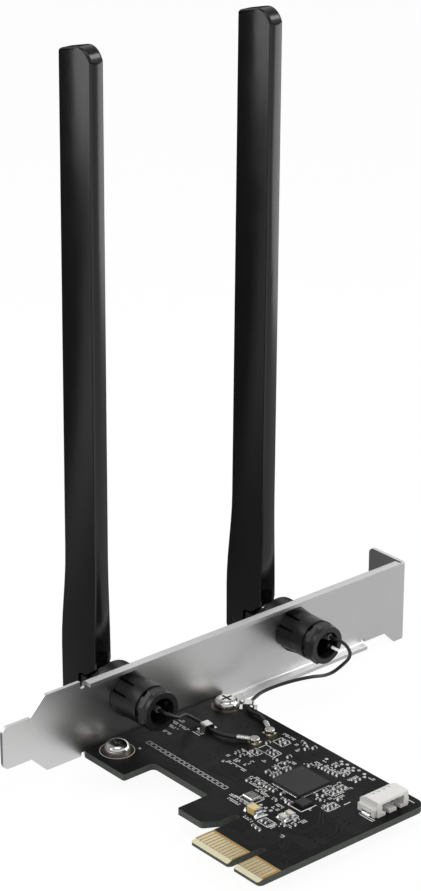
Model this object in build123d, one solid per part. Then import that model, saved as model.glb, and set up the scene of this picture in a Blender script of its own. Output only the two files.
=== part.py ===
from build123d import *
import os
from math import atan2, cos, degrees, pi, radians, sin, tan

# Wireless expansion card: a folded slot bracket carries a small circuit board and two blade antennas that
# swivel in snap-in bushes and fold at a hinge pin in their feet.
# Frame: X runs along the card away from the bracket, Y from the card edge towards the screw tab, Z up from the
# component side. The origin is the centre of the key notch on the card edge, half way through the board.
# All sizes are in millimetres.

# Board
board_thickness = 1.57
bracket_to_key = 57.15
board_gap = 0.5
far_edge = 47.5
ear_edge = 6.2
ear_width = 14.1
recess_edge = 14.6
recess_width = 18.25
guide_width = 7.75
guide_sweep = 3.4
retention_slot_width = 2.0
retention_slot_depth = 14.0
board_corner = 2.5
small_corner = 0.6
screw_hole_radius = 1.7

# Edge connector
key_width = 1.9
key_depth = 9.5
contact_pitch = 1.0
contact_width = 0.7
contact_length = 4.3
contact_thickness = 0.05
near_contacts = 11
far_contacts = 7
key_margin = 0.2
outer_margin = 0.45
bevel_length = 1.3
bevel_depth = 0.42

# Bracket
sheet = 0.86
bracket_length = 120.02
bracket_width = 18.42
card_edge_to_tongue = 15.22
tongue_length = 7.6
tongue_width = 10.19
tongue_corner = 1.6
fold_depth = 3.0
bend_radius = 0.5
bend_land = 0.4
upper_fold_end_gap = 4.0
lower_fold_end_gap = 14.5
fold_lead = 0.52
relief_width = 1.1
tab_reach = 11.43
tab_drop = 1.7
tab_corner = 1.5
tab_step = 3.17
tab_step_gap = 3.6
slot_width = 4.42
slot_depth = 5.6
slot_setback = 6.35
bracket_ear_width = 8.6

# Board screws
screw_setback = 5.15
front_screw_y = 11.9
rear_screw_y = 43.6
screw_shank_radius = 1.45
screw_tap_radius = 1.5
screw_head_radius = 2.95
screw_head_height = 2.05
screw_length = 4.6
recess_blade = 0.6
recess_span = 3.0
recess_depth = 1.1

# Snap bushes and swivels
left_bush_y = 19.5
right_bush_y = 68.45
bush_height = 11.1
bush_radius = 4.85
bush_hole_clearance = 0.1
bush_bore = 3.75
bush_length = 11.6
bush_rim_radius = 6.2
bush_rim = 1.0
waist_start = 8.0
waist_width = 1.1
waist_radius = 4.5
ring_apothem = 4.7
ring_chamfer = 1.3
ring_slit = 0.7
ring_slit_turn = -34
mouth_radius = 3.24
mouth_depth = 2.1
window_width = 1.5
window_count = 6
finger_length = 4.4
finger_arc = 48
finger_flare = 0.6
finger_slot = 0.45
finger_catch = 0.1
running_clearance = 0.05
bead_height = 0.28
groove_depth = 0.4
stem_wall = 0.8
stem_setback = 0.35
stem_slit = 0.8
stem_slit_length = 4.0
stem_floor = 1.0
swivel_gap = 0.15
flange_radius = 5.8
flange_length = 4.2
flange_round = 1.0
lead_passage = 0.8

# Antenna hinge
pin_reach = 17.5
pin_drop = 4.0
pin_radius = 0.8
pin_hole_clearance = 0.05
pin_inset = 0.25
pin_fit = 0.02
leg_radius = 3.5
tongue_thickness = 2.0
fork_clearance = 0.15
fold_clearance = 0.4
neck_thickness = 4.4
neck_rise = 4.9
neck_drop = 5.0
neck_slope_end = 6.7

# Antenna blades
blade_rise = 149.8
blade_width = 13.1
blade_thickness = 5.4
blade_bow = 0.4
edge_bow = 0.3
flare_low = 12.0
flare_high = 36.0
flare_steps = 6
shank_width = 11.75
shank_thickness = 4.5
shank_lean = 1.45
tip_width = 11.4
tip_thickness = 4.25
tip_lean = 2.9
tip_fall = 3.0
tip_front_radius = 4.4
tip_rear_radius = 2.0
blade_front_round = 0.55
blade_rear_round = 1.0
tip_edge_round = 0.6
vee_height = 4.6
vee_reach = 6.1
notch_rise = 4.4
slot_rise = 1.4
blade_wall = 0.9
cavity_start = 12.0
cavity_end_gap = 8.0
radiator_width = 6.4
radiator_thickness = 0.6
radiator_length = 96.0
feed_clearance = 0.06
feed_lap = 14.0

# Coaxial leads, sleeves, clips, plugs and sockets
lead_diameter = 0.81
lead_lift = 0.6
left_lead_out = [(-0.3, 0.0, 0.0), (1.3, 1.2, -0.75), (1.5, 3.0, -1.85), (-2.1, 6.9, -4.7)]
left_lead_down = []
left_lead_clipped = [(-4.6, -2.6, 2.15), (-4.35, -0.8, 0.9), (-2.6, 0.3, 0.0), (2.6, -0.35, 0.0)]
right_lead_out = [(0.75, 1.75, 1.7), (3.05, 3.45, 0.1), (3.15, 4.65, -3.0)]
right_lead_down = [(0.45, 4.55, 2.6), (-0.75, 1.45, 0.5), (-0.15, -5.15, 2.6)]
right_lead_clipped = [(-1.1, 11.8, 1.3), (-3.0, 7.0, 0.1), (-2.0, 3.6, 0.0), (-0.4, 0.1, 0.0), (2.4, -1.7, 0.0)]
lead_plug_run = 3.4
left_plug_reach = 22.25
right_plug_reach = 21.35
left_clip_reach = 10.65
right_clip_reach = 9.2
lead_start_gap = 0.3
sleeve_radius = 0.75
sleeve_length = 4.0
sleeve_clearance = 0.03
clip_sheet = 0.3
clip_inner_width = 2.0
clip_inner_height = 1.3
clip_length = 2.2
clip_foot = 0.7
socket_base = 2.3
socket_base_height = 0.35
socket_ring_radius = 0.85
socket_ring_wall = 0.25
socket_height = 1.06
socket_pin_radius = 0.25
plug_radius = 1.17
plug_top = 1.35
plug_roof = 0.22
plug_fit = 0.05
plug_neck = 4.0
crimp_radius = 0.58

# Header for the auxiliary cable
header_ways = 4
header_pitch = 1.5
header_width = 8.8
header_depth = 5.6
header_height = 3.6
header_setback = 2.3
header_middle_y = 39.9
header_wall = 0.75
header_back_wall = 1.3
header_step = 0.9
header_notch = 1.1
header_ear = 0.6
header_ear_height = 1.7
header_relief = 0.6
header_pin = 0.5
header_pin_reach = 3.2
header_foot = 1.2
anchor_length = 2.4
anchor_width = 0.5
anchor_sheet = 0.25
anchor_height = 1.0

# Components: chip bodies as length, width and height
wifi_chip = (9.0, 9.0, 0.85)
wifi_chip_at = (-15.15, 33.0)
regulator_chip = (2.8, 2.7, 0.75)
regulator_at = (-8.25, 27.6)
crystal_can = (3.0, 2.6, 0.8)
crystal_at = (-17.2, 20.8)
storage_capacitor = (3.2, 2.0, 1.5)
storage_at = (-12.4, 17.3)
filter_capacitor = (2.0, 1.15, 0.8)
filter_at = [(-6.5, 20.4), (-6.55, 22.35)]
package_chamfer = 0.12
chip_passive = (1.0, 0.5, 0.4)

# Small chip components on the board, lying along X or along Y
ceramic_along_x = [
    (-12.3, 25.6), (-13.5, 24.1), (-19.8, 26.2), (-21.4, 26.2), (-21.3, 30.4), (-21.3, 31.4), (-21.4, 32.4),
    (-21.5, 34.2), (-21.5, 35.4), (-18.0, 40.4), (-15.9, 43.6), (-13.0, 43.6), (-9.2, 36.6), (-9.4, 32.1),
    (-7.6, 35.2), (-7.6, 36.4), (-7.7, 37.6), (-7.8, 38.8), (-8.3, 42.4), (-8.3, 43.6), (-7.4, 31.2),
    (-3.6, 32.2), (-3.6, 31.1), (-3.6, 30.0), (-3.2, 20.4), (-4.6, 18.6), (-8.1, 13.6), (-6.6, 13.4),
]
ceramic_along_y = [
    (-14.2, 26.9), (-11.0, 25.5), (-10.0, 25.5), (-16.3, 26.6), (-17.4, 26.6), (-18.5, 26.6), (-23.4, 25.2),
    (-23.2, 33.4), (-23.6, 36.4), (-23.4, 30.8), (-19.4, 39.6), (-16.6, 41.0), (-15.6, 41.0), (-14.6, 41.0),
    (-13.4, 41.2), (-12.4, 41.4), (-11.4, 42.6), (-9.3, 34.8), (-7.9, 33.2), (-4.6, 34.6), (-4.2, 22.0),
    (-8.6, 16.6), (-7.4, 16.6),
]
matching_along_x = [
    (-31.9, 42.4), (-31.9, 41.5), (-27.9, 45.3), (-26.6, 44.7), (-29.8, 37.8), (-29.6, 36.6), (-26.2, 35.6),
]
matching_along_y = [
    (-30.4, 42.6), (-30.4, 41.2), (-25.4, 43.9), (-24.6, 45.5), (-33.0, 39.3), (-28.2, 37.2), (-31.0, 34.9),
    (-32.2, 34.6), (-34.0, 31.2), (-32.4, 31.2), (-25.2, 38.6),
]

# Levels and planes worked out from the driving sizes
board_top = board_thickness / 2
seat = -board_thickness / 2
inner_face = -bracket_to_key
outer_face = inner_face - sheet
board_left = inner_face + board_gap
near_width = near_contacts * contact_pitch + key_margin + outer_margin
far_width = far_contacts * contact_pitch + key_margin + outer_margin
connector_left = -key_width / 2 - near_width
board_right = key_width / 2 + far_width
tongue_tip = -card_edge_to_tongue
tab_face = tongue_tip + bracket_length
bracket_top = seat + bracket_width
bush_axis = seat + bush_height
bend_outer = bend_radius + sheet
bend_leg = bend_outer + bend_land
screw_x = inner_face + screw_setback
screw_places = [(screw_x, front_screw_y), (screw_x, rear_screw_y)]
waist_end = waist_start + waist_width
mouth_start = bush_length - mouth_depth
swivel_face = -sheet - bush_rim - swivel_gap
flange_face = swivel_face - flange_length
stem_radius = bush_bore - running_clearance
stem_end = mouth_start - stem_setback
pin_x = -sheet - pin_reach
pin_z = -pin_drop
blade_top = pin_z + blade_rise
blade_foot = pin_z - leg_radius
blade_rear = pin_x - leg_radius
cavity_floor = pin_z + cavity_start
lead_radius = lead_diameter / 2
lead_level = board_top + lead_lift
plug_level = board_top + socket_base_height + (plug_top - socket_base_height) / 2
header_front = board_right - header_setback
header_rear = header_front - header_depth

# Routes of the two leads: from inside the swivel, out of the bush mouth, under a clip, to the plug
left_plug_at = (inner_face + left_plug_reach, 37.1)
left_plug_turn = 214.9
right_plug_at = (inner_face + right_plug_reach, 42.3)
right_plug_turn = 152.8
left_clip_at = (inner_face + left_clip_reach, 33.15)
left_clip_turn = -6.6
right_clip_at = (inner_face + right_clip_reach, 46.65)
right_clip_turn = -44.5
mouth_face = inner_face + bush_length


def plug_end(at, turn, reach):
    """Point on a plug's cable axis, this far from the middle of its cap."""
    return (at[0] + reach * cos(radians(turn)), at[1] + reach * sin(radians(turn)), plug_level)


def lead_route(bush_y, out, down, clip_at, clipped, plug_at, plug_turn):
    """Points of a lead: out of the bush mouth, down to the board, under the clip, to the plug."""
    points = [(inner_face + stem_floor + lead_start_gap, bush_y, bush_axis)]
    points += [(mouth_face + x, bush_y + y, bush_axis + z) for x, y, z in out]
    points += [(mouth_face + x, bush_y + y, lead_level + z) for x, y, z in down]
    points += [(clip_at[0] + x, clip_at[1] + y, lead_level + z) for x, y, z in clipped]
    points.append(plug_end(plug_at, plug_turn, plug_neck + lead_plug_run))
    points.append(plug_end(plug_at, plug_turn, plug_neck))
    return points


left_route = lead_route(left_bush_y, left_lead_out, left_lead_down, left_clip_at, left_lead_clipped,
                        left_plug_at, left_plug_turn)
right_route = lead_route(right_bush_y, right_lead_out, right_lead_down, right_clip_at, right_lead_clipped,
                         right_plug_at, right_plug_turn)


def outline(*corners):
    """Closed flat face from corners given as (across, up, corner radius)."""
    points = [(across, up) for across, up, _ in corners]
    radii = [radius for _, _, radius in corners]
    return make_face(FilletPolyline(*points, radius=radii, close=True))


def prism_x(face, low, high):
    """Face drawn in Y and Z, carried along X from low to high."""
    return extrude(Pos(low, 0, 0) * (Plane.YZ * face), amount=high - low)


def prism_y(face, low, high):
    """Face drawn in X and Z, carried along Y from low to high."""
    return extrude(Pos(0, high, 0) * (Plane.XZ * face), amount=high - low)


def prism_z(face, low, high):
    """Face drawn in X and Y, carried up from low to high."""
    return extrude(Pos(0, 0, low) * face, amount=high - low)


def block(x, y, z):
    """Box between two limits on each axis."""
    sizes = (x[1] - x[0], y[1] - y[0], z[1] - z[0])
    return Pos((x[0] + x[1]) / 2, (y[0] + y[1]) / 2, (z[0] + z[1]) / 2) * Box(*sizes)


def rod_x(radius, low, high):
    """Cylinder on the X axis."""
    return Pos((low + high) / 2, 0, 0) * Rot(0, 90, 0) * Cylinder(radius, high - low)


def rod_y(radius, low, high):
    """Cylinder on the Y axis."""
    return Pos(0, (low + high) / 2, 0) * Rot(90, 0, 0) * Cylinder(radius, high - low)


def save(name, shape):
    """Write one named piece."""
    export_step(shape, f"parts/{name}.step")


def fold(face_level, inward):
    """Section of one folded long edge: the corner is bent round, the lip points at the board."""
    lip_end = outer_face + fold_depth
    return outline(
        (outer_face, face_level + inward * bend_leg, 0),
        (outer_face, face_level, bend_outer),
        (lip_end, face_level, 0),
        (lip_end, face_level + inward * sheet, 0),
        (inner_face, face_level + inward * sheet, bend_radius),
        (inner_face, face_level + inward * bend_leg, 0),
    )


def bracket():
    """One sheet: tongue, web, two folded long edges, two board ears and the bent screw tab."""
    shoulder = (bracket_width - tongue_width) / 2
    tongue_low = seat + shoulder
    tongue_high = bracket_top - shoulder
    tongue_end = tongue_tip + tongue_length
    shoulder_end = tongue_end + shoulder
    fold_start = front_screw_y - bracket_ear_width / 2 - fold_lead
    upper_end = tab_face - upper_fold_end_gap
    lower_end = tab_face - lower_fold_end_gap
    web_top = bracket_top - bend_leg
    lip_under = seat - sheet
    web_low = lip_under + bend_leg
    tab_top = bracket_top - tab_drop
    tab_low = seat - tab_step
    step_end = tab_face - tab_step_gap
    bend_start = tab_face - bend_leg
    relief_start = fold_start - relief_width
    web = outline(
        (tongue_tip, tongue_low, tongue_corner),
        (tongue_end, tongue_low, 0),
        (shoulder_end, seat, 0),
        (relief_start, seat, 0),
        (relief_start, web_low, 0),
        (lower_end + relief_width, web_low, 0),
        (lower_end + relief_width, seat, 0),
        (step_end - tab_step, seat, 0),
        (step_end, tab_low, 0),
        (bend_start, tab_low, 0),
        (bend_start, tab_top, 0),
        (upper_end + relief_width, tab_top, 0),
        (upper_end + relief_width, web_top, 0),
        (relief_start, web_top, 0),
        (relief_start, bracket_top, 0),
        (shoulder_end, bracket_top, 0),
        (tongue_end, tongue_high, 0),
        (tongue_tip, tongue_high, tongue_corner),
    )
    body = prism_x(web, outer_face, inner_face)
    body += prism_y(fold(bracket_top, -1), fold_start, upper_end)
    body += prism_y(fold(lip_under, 1), fold_start, lower_end)
    tab_end = outer_face - tab_reach
    bend = outline(
        (inner_face, bend_start, 0),
        (inner_face, tab_face, bend_outer),
        (tab_end, tab_face, 0),
        (tab_end, tab_face - sheet, 0),
        (outer_face, tab_face - sheet, bend_radius),
        (outer_face, bend_start, 0),
    )
    tab = prism_z(bend, tab_low, tab_top)
    corners = tab.edges().filter_by(Axis.Y).group_by(Axis.X)[0]
    tab = fillet(corners, tab_corner)
    slot_x = outer_face - slot_setback
    slot_end = tab_low + slot_depth - slot_width / 2
    tab -= block((slot_x - slot_width / 2, slot_x + slot_width / 2), (tab_face - 2 * sheet, tab_face + sheet),
                 (tab_low - sheet, slot_end))
    tab -= Pos(slot_x, 0, slot_end) * rod_y(slot_width / 2, tab_face - 2 * sheet, tab_face + sheet)
    body += tab
    ear_root = outer_face + fold_depth / 2
    ear_end = screw_x + bracket_ear_width / 2
    for x, y in screw_places:
        half = bracket_ear_width / 2
        ear = outline((ear_root, y - half, 0), (ear_end, y - half, half / 2), (ear_end, y + half, half / 2),
                      (ear_root, y + half, 0))
        body += prism_z(ear, lip_under, seat)
        body -= Pos(x, y, 0) * Cylinder(screw_tap_radius, 4 * board_thickness + 4 * sheet)
    for y in (left_bush_y, right_bush_y):
        hole = rod_x(bush_radius + bush_hole_clearance, outer_face - sheet, inner_face + sheet)
        body -= Pos(0, y, bush_axis) * hole
    return body


def circuit_board():
    """Board outline with ear, recess, guide, retention slot, bevelled edge connector and key notch."""
    ear_right = board_left + ear_width
    guide_left = ear_right + recess_width
    guide_right = guide_left + guide_width
    slot_left = connector_left - retention_slot_width
    slot_round = retention_slot_width * 0.49
    key_round = key_width * 0.49
    face = outline(
        (board_left, ear_edge, small_corner),
        (ear_right, ear_edge, small_corner),
        (ear_right, recess_edge, 2 * small_corner),
        (guide_left, recess_edge, small_corner / 2),
        (guide_left, ear_edge, small_corner / 2),
        (guide_right, ear_edge, 2 * small_corner),
        (slot_left, ear_edge + guide_sweep, 2 * small_corner),
        (slot_left, retention_slot_depth, slot_round),
        (connector_left, retention_slot_depth, slot_round),
        (connector_left, 0, small_corner),
        (-key_width / 2, 0, small_corner / 2),
        (-key_width / 2, key_depth, key_round),
        (key_width / 2, key_depth, key_round),
        (key_width / 2, 0, small_corner / 2),
        (board_right, 0, small_corner),
        (board_right, far_edge, board_corner),
        (board_left, far_edge, small_corner),
    )
    body = prism_z(face, seat, board_top)
    for side in (1, -1):
        edge_level = side * (board_top - bevel_depth)
        skim = outline((0, edge_level, 0), (bevel_length, side * board_top, 0),
                       (-bevel_length, side * 2 * board_top, 0), (-bevel_length, edge_level, 0))
        body -= prism_x(skim, connector_left - key_width, board_right + key_width)
    for x, y in screw_places:
        body -= Pos(x, y, 0) * Cylinder(screw_hole_radius, 2 * board_thickness)
    return body


def edge_contacts():
    """Thin gold contacts on both faces, behind the bevel, in the long and the short group."""
    starts = [connector_left + outer_margin + index * contact_pitch for index in range(near_contacts)]
    starts += [key_width / 2 + key_margin + index * contact_pitch for index in range(far_contacts)]
    margin = (contact_pitch - contact_width) / 2
    pieces = []
    for start in starts:
        x = (start + margin, start + margin + contact_width)
        y = (bevel_length, bevel_length + contact_length)
        pieces.append(block(x, y, (board_top, board_top + contact_thickness)))
        pieces.append(block(x, y, (seat - contact_thickness, seat)))
    return Compound(children=pieces)


def board_screws():
    """Two pan-head screws with cross recesses, through the board into the bracket's ears."""
    crown = screw_head_height * 0.7
    head = outline((0, 0, 0), (screw_head_radius, 0, 0), (screw_head_radius, screw_head_height, crown),
                   (0, screw_head_height, 0))
    head = revolve(Plane.XZ * head, Axis.Z)
    half = recess_span / 2
    blade = recess_blade / 2
    recess_z = (screw_head_height - recess_depth, screw_head_height + recess_depth)
    head -= block((-half, half), (-blade, blade), recess_z)
    head -= block((-blade, blade), (-half, half), recess_z)
    shank = Pos(0, 0, -screw_length / 2) * Cylinder(screw_shank_radius, screw_length)
    screw = Pos(0, 0, board_top) * (head + shank)
    return Compound(children=[Pos(x, y, 0) * screw for x, y in screw_places])


def snap_bush():
    """Bush on the X axis, zero at the bracket's inner face: rim, sprung fingers, windowed waist, end ring."""
    rim_face = -sheet - bush_rim
    body = revolve(outline(
        (rim_face, 0, 0), (rim_face, bush_rim_radius, bush_rim * 0.4), (-sheet, bush_rim_radius, 0),
        (-sheet, bush_radius, 0), (waist_start, bush_radius, 0), (waist_start, waist_radius, 0),
        (bush_length, waist_radius, 0), (bush_length, 0, 0)), Axis.X)
    ring = prism_x(RegularPolygon(ring_apothem, 8, major_radius=False, rotation=22.5), waist_end, bush_length)
    ring = chamfer(ring.faces().sort_by(Axis.X)[-1].edges(), ring_chamfer)
    body += ring
    flare = bush_radius + finger_flare
    finger = revolve(outline(
        (finger_catch, bush_bore + running_clearance, 0), (finger_catch, flare, 0.1),
        (finger_length, bush_radius, 0), (finger_length, bush_bore + running_clearance, 0)), Axis.X, finger_arc)
    end_gap = -sheet / 3
    gap = revolve(outline(
        (end_gap, bush_bore - 1, 0), (end_gap, flare + 1, 0), (finger_catch, flare + 1, 0),
        (finger_catch, bush_bore - 1, 0)), Axis.X, finger_arc)
    slot = block((end_gap, finger_length), (bush_bore - 1, flare + 1), (-finger_slot / 2, finger_slot / 2))
    slot_turn = finger_arc / 2 + degrees(atan2(finger_slot / 2, bush_radius))
    for turn in (0, 90, 180, 270):
        body += Rot(turn - finger_arc / 2, 0, 0) * finger
        body -= Rot(turn - finger_arc / 2, 0, 0) * gap
        body -= Rot(turn - slot_turn, 0, 0) * slot
        body -= Rot(turn + slot_turn, 0, 0) * slot
    groove = bush_bore + groove_depth
    body -= revolve(outline(
        (rim_face - 1, 0, 0), (rim_face - 1, bush_bore, 0), (waist_start, bush_bore, 0),
        (waist_start, groove, 0), (waist_end, groove, 0), (waist_end, bush_bore, 0),
        (mouth_start, bush_bore, 0), (mouth_start, mouth_radius, 0), (bush_length + 1, mouth_radius, 0),
        (bush_length + 1, 0, 0)), Axis.X)
    window_z = (-window_width / 2, window_width / 2)
    window = block((waist_start, waist_end), (bush_bore, bush_radius + 1), window_z)
    for index in range(window_count):
        body -= Rot(index * 360 / window_count, 0, 0) * window
    slit = block((waist_end, bush_length + 1), (0, 2 * bush_radius), (-ring_slit / 2, ring_slit / 2))
    body -= Rot(ring_slit_turn, 0, 0) * slit
    return body


def swivel_base():
    """Swivel on the X axis: split hollow stem with a snap bead, flange, and an arm for the hinge pin."""
    bead_start = waist_start + swivel_gap
    bead_end = waist_end - swivel_gap
    bead = stem_radius + bead_height
    body = revolve(outline(
        (flange_face, 0, 0), (flange_face, flange_radius, flange_round),
        (swivel_face, flange_radius, flange_round / 3), (swivel_face, stem_radius, 0),
        (bead_start, stem_radius, 0), (bead_start, bead, 0),
        (bead_end, stem_radius, 0), (stem_end, stem_radius, 0), (stem_end, 0, 0)), Axis.X)
    neck_half = neck_thickness / 2
    arm = outline(
        (flange_face + flange_length / 2, -neck_drop, 0), (flange_face + flange_length / 2, neck_rise, 0),
        (flange_face, neck_rise, 0), (pin_x + neck_slope_end, pin_z + leg_radius, flange_round),
        (pin_x, pin_z + leg_radius, 0), (pin_x, pin_z - leg_radius, 0))
    arm += Pos(pin_x, pin_z) * Circle(leg_radius)
    arm = prism_y(arm, -neck_half, neck_half)
    tongue_half = tongue_thickness / 2
    sweep_radius = leg_radius + fold_clearance
    arm -= Pos(pin_x, 0, pin_z) * rod_y(sweep_radius, tongue_half, 2 * neck_half)
    arm -= Pos(pin_x, 0, pin_z) * rod_y(sweep_radius, -2 * neck_half, -tongue_half)
    leg_x = (pin_x - sweep_radius, pin_x + sweep_radius)
    leg_z = (pin_z, pin_z + 2 * sweep_radius)
    arm -= block(leg_x, (tongue_half, 2 * neck_half), leg_z)
    arm -= block(leg_x, (-2 * neck_half, -tongue_half), leg_z)
    body += arm
    body -= Pos(pin_x, 0, pin_z) * rod_y(pin_radius + pin_hole_clearance, -neck_thickness, neck_thickness)
    body -= rod_x(stem_radius - stem_wall, stem_floor, stem_end + 1)
    body -= rod_x(lead_passage, flange_face, stem_end)
    slit_start = stem_end - stem_slit_length
    slit_z = (-stem_slit / 2, stem_slit / 2)
    slit = block((slit_start, stem_end + 1), (-2 * bush_bore, 2 * bush_bore), slit_z)
    for turn in (0, 90):
        body -= Rot(turn, 0, 0) * slit
    return body


def blade_edge(height):
    """Rear edge, width and thickness at a height: even foot, eased flare in to the shank, tapered shank."""
    foot = (blade_rear, blade_width, blade_thickness)
    shank = (blade_rear + shank_lean, shank_width, shank_thickness)
    tip = (blade_rear + tip_lean, tip_width, tip_thickness)
    flare = (height - blade_foot - flare_low) / (flare_high - flare_low)
    taper = (height - blade_foot - flare_high) / (blade_top - blade_foot - flare_high)
    if taper > 0:
        return [first + taper * (last - first) for first, last in zip(shank, tip)]
    ease = max(0, flare) ** 2 * (3 - 2 * flare)
    return [first + ease * (last - first) for first, last in zip(foot, shank)]


def blade_section(height, inset, front_round, rear_round):
    """Cross-section of the blade at a height, drawn smaller by the inset: four bowed sides, round corners."""
    rear, width, thickness = blade_edge(height)
    rear_x = rear + inset
    front_x = rear + width - inset
    low_x = rear_x + edge_bow
    high_x = front_x - edge_bow
    crown = thickness / 2 - inset
    flank = crown - blade_bow
    middle = (low_x + high_x) / 2
    sides = Curve() + [
        ThreePointArc((low_x, -flank), (middle, -crown), (high_x, -flank)),
        ThreePointArc((high_x, -flank), (front_x, 0), (high_x, flank)),
        ThreePointArc((high_x, flank), (middle, crown), (low_x, flank)),
        ThreePointArc((low_x, flank), (rear_x, 0), (low_x, -flank)),
    ]
    section = make_face(sides)
    section = fillet(section.vertices().group_by(Axis.X)[-1], front_round)
    section = fillet(section.vertices().group_by(Axis.X)[0], rear_round)
    return Pos(0, 0, height) * section


def antenna_casing():
    """Flared hollow blade: slanted round tip, fork foot round the pin, and a notch that clears the arm."""
    flare_step = (flare_high - flare_low) / flare_steps
    levels = [blade_foot + flare_low + index * flare_step for index in range(flare_steps + 1)]
    levels = [blade_foot] + levels + [blade_top]
    sections = [blade_section(level, 0, blade_front_round, blade_rear_round) for level in levels]
    body = loft(sections, ruled=True)
    front = blade_rear + blade_width
    side = outline(
        (blade_rear - 0.01, blade_foot, leg_radius * 0.98),
        (pin_x + leg_radius, blade_foot, leg_radius * 0.98),
        (pin_x + leg_radius, pin_z + notch_rise, 2 * small_corner),
        (pin_x + vee_reach, pin_z + notch_rise, 2 * small_corner),
        (front + 0.3, pin_z + vee_height + notch_rise, 4 * small_corner),
        (blade_rear + tip_lean + tip_width + 0.2, blade_top, tip_front_radius),
        (blade_rear + tip_lean - 0.2, blade_top - tip_fall, tip_rear_radius),
    )
    body &= prism_y(side, -blade_thickness, blade_thickness)
    tip_edges = body.edges().filter_by(lambda edge: edge.center().Z > blade_top - tip_front_radius - tip_fall)
    rims = tip_edges.filter_by(lambda edge: edge.bounding_box().size.Y < 1.1 * blade_bow)
    body = fillet(rims.filter_by(lambda edge: abs(edge.center().Y) > tip_thickness / 3), tip_edge_round)
    slot_half = tongue_thickness / 2 + fork_clearance
    slot_top = pin_z + leg_radius + fold_clearance
    body -= block((blade_rear - 1, front + 1), (-slot_half, slot_half), (blade_foot - 1, slot_top))
    front_slot_top = pin_z + notch_rise + vee_height + slot_rise
    body -= block((pin_x + leg_radius, front + 1), (-slot_half, slot_half), (slot_top - 1, front_slot_top))
    body -= Pos(pin_x, 0, pin_z) * rod_y(pin_radius, -blade_thickness, blade_thickness)
    hollow = (cavity_floor, blade_foot + flare_high, blade_top - cavity_end_gap)
    body -= loft([blade_section(level, blade_wall, blade_front_round / 2, blade_front_round / 2)
                  for level in hollow], ruled=True)
    feed_x, feed_y = feed_place()
    body -= Pos(feed_x, feed_y, (slot_top + cavity_floor) / 2) * Cylinder(lead_radius + feed_clearance,
                                                                          cavity_floor - slot_top + 1)
    return body


def feed_place():
    """Where the inner feed stands: beside the radiator's face, near the middle of the blade."""
    rear, width, _ = blade_edge(cavity_floor)
    return rear + width / 2, -lead_radius - feed_clearance / 2


def radiator():
    """Flat radiating strip that stands on the floor of the casing's cavity."""
    feed_x, _ = feed_place()
    return block((feed_x - radiator_width / 2, feed_x + radiator_width / 2), (0, radiator_thickness),
                 (cavity_floor, cavity_floor + radiator_length))


def feed_lead():
    """Inner coaxial feed from the top of the fork to the radiator."""
    feed_x, feed_y = feed_place()
    start = pin_z + leg_radius + fold_clearance
    end = cavity_floor + feed_lap
    return Pos(feed_x, feed_y, (start + end) / 2) * Cylinder(lead_radius, end - start)


def hinge_pin():
    """Pin across the fork and the arm's tongue."""
    reach = blade_thickness / 2 - pin_inset
    return Pos(pin_x, 0, pin_z) * rod_y(pin_radius - pin_fit, -reach, reach)


def lead_radii(route):
    """Largest tangent arc at each inner point: 0.45 of the shorter run, over the tangent of half the turn."""
    radii = []
    for before, here, after in zip(route, route[1:], route[2:]):
        into = Vector(*here) - Vector(*before)
        away = Vector(*after) - Vector(*here)
        radii.append(0.45 * min(into.length, away.length) / tan(radians(into.get_angle(away) / 2)))
    return radii


def coax_lead(route):
    """Round lead along straight runs joined by tangent arcs."""
    radii = lead_radii(route)
    path = FilletPolyline(*route, radius=radii)
    lead = sweep(Plane(origin=path @ 0, z_dir=path % 0) * Circle(lead_radius), path=path)
    section = pi * lead_radius ** 2
    print("lead radii", [round(radius, 1) for radius in radii], "length", round(path.length, 1),
          "volume ratio", round(lead.volume / (section * path.length), 4))
    return lead


def lead_sleeve(route):
    """Sleeve on the first straight run of a lead, ending where the run starts to bend."""
    start = Vector(*route[0])
    run = Vector(*route[1]) - start
    shorter = (Vector(*route[2]) - Vector(*route[1])).length
    middle = start + run.normalized() * (run.length - 0.45 * shorter - sleeve_length / 2)
    ring = Circle(sleeve_radius) - Circle(lead_radius + sleeve_clearance)
    plane = Plane(origin=middle, z_dir=run)
    return extrude(plane * ring, amount=sleeve_length / 2, both=True)


def lead_clip(at, turn):
    """Folded metal bridge soldered on the board, turned so that the lead runs through it."""
    half = clip_inner_width / 2
    outer = half + clip_sheet
    top = clip_inner_height + clip_sheet
    foot = outer + clip_foot
    face = outline(
        (-foot, 0, 0), (-half, 0, 0), (-half, clip_inner_height, clip_sheet),
        (half, clip_inner_height, clip_sheet), (half, 0, 0), (foot, 0, 0), (foot, clip_sheet, 0),
        (outer, clip_sheet, 0), (outer, top, 2 * clip_sheet), (-outer, top, 2 * clip_sheet),
        (-outer, clip_sheet, 0), (-foot, clip_sheet, 0))
    body = prism_x(face, -clip_length / 2, clip_length / 2)
    return Pos(at[0], at[1], board_top) * Rot(0, 0, turn) * body


def coax_socket(at):
    """Board socket: square base, thin ring and centre pin."""
    half = socket_base / 2
    body = block((-half, half), (-half, half), (0, socket_base_height))
    ring = Circle(socket_ring_radius) - Circle(socket_ring_radius - socket_ring_wall)
    body += prism_z(ring, 0, socket_height)
    body += prism_z(Circle(socket_pin_radius), 0, socket_height * 0.85)
    return Pos(at[0], at[1], board_top) * body


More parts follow.
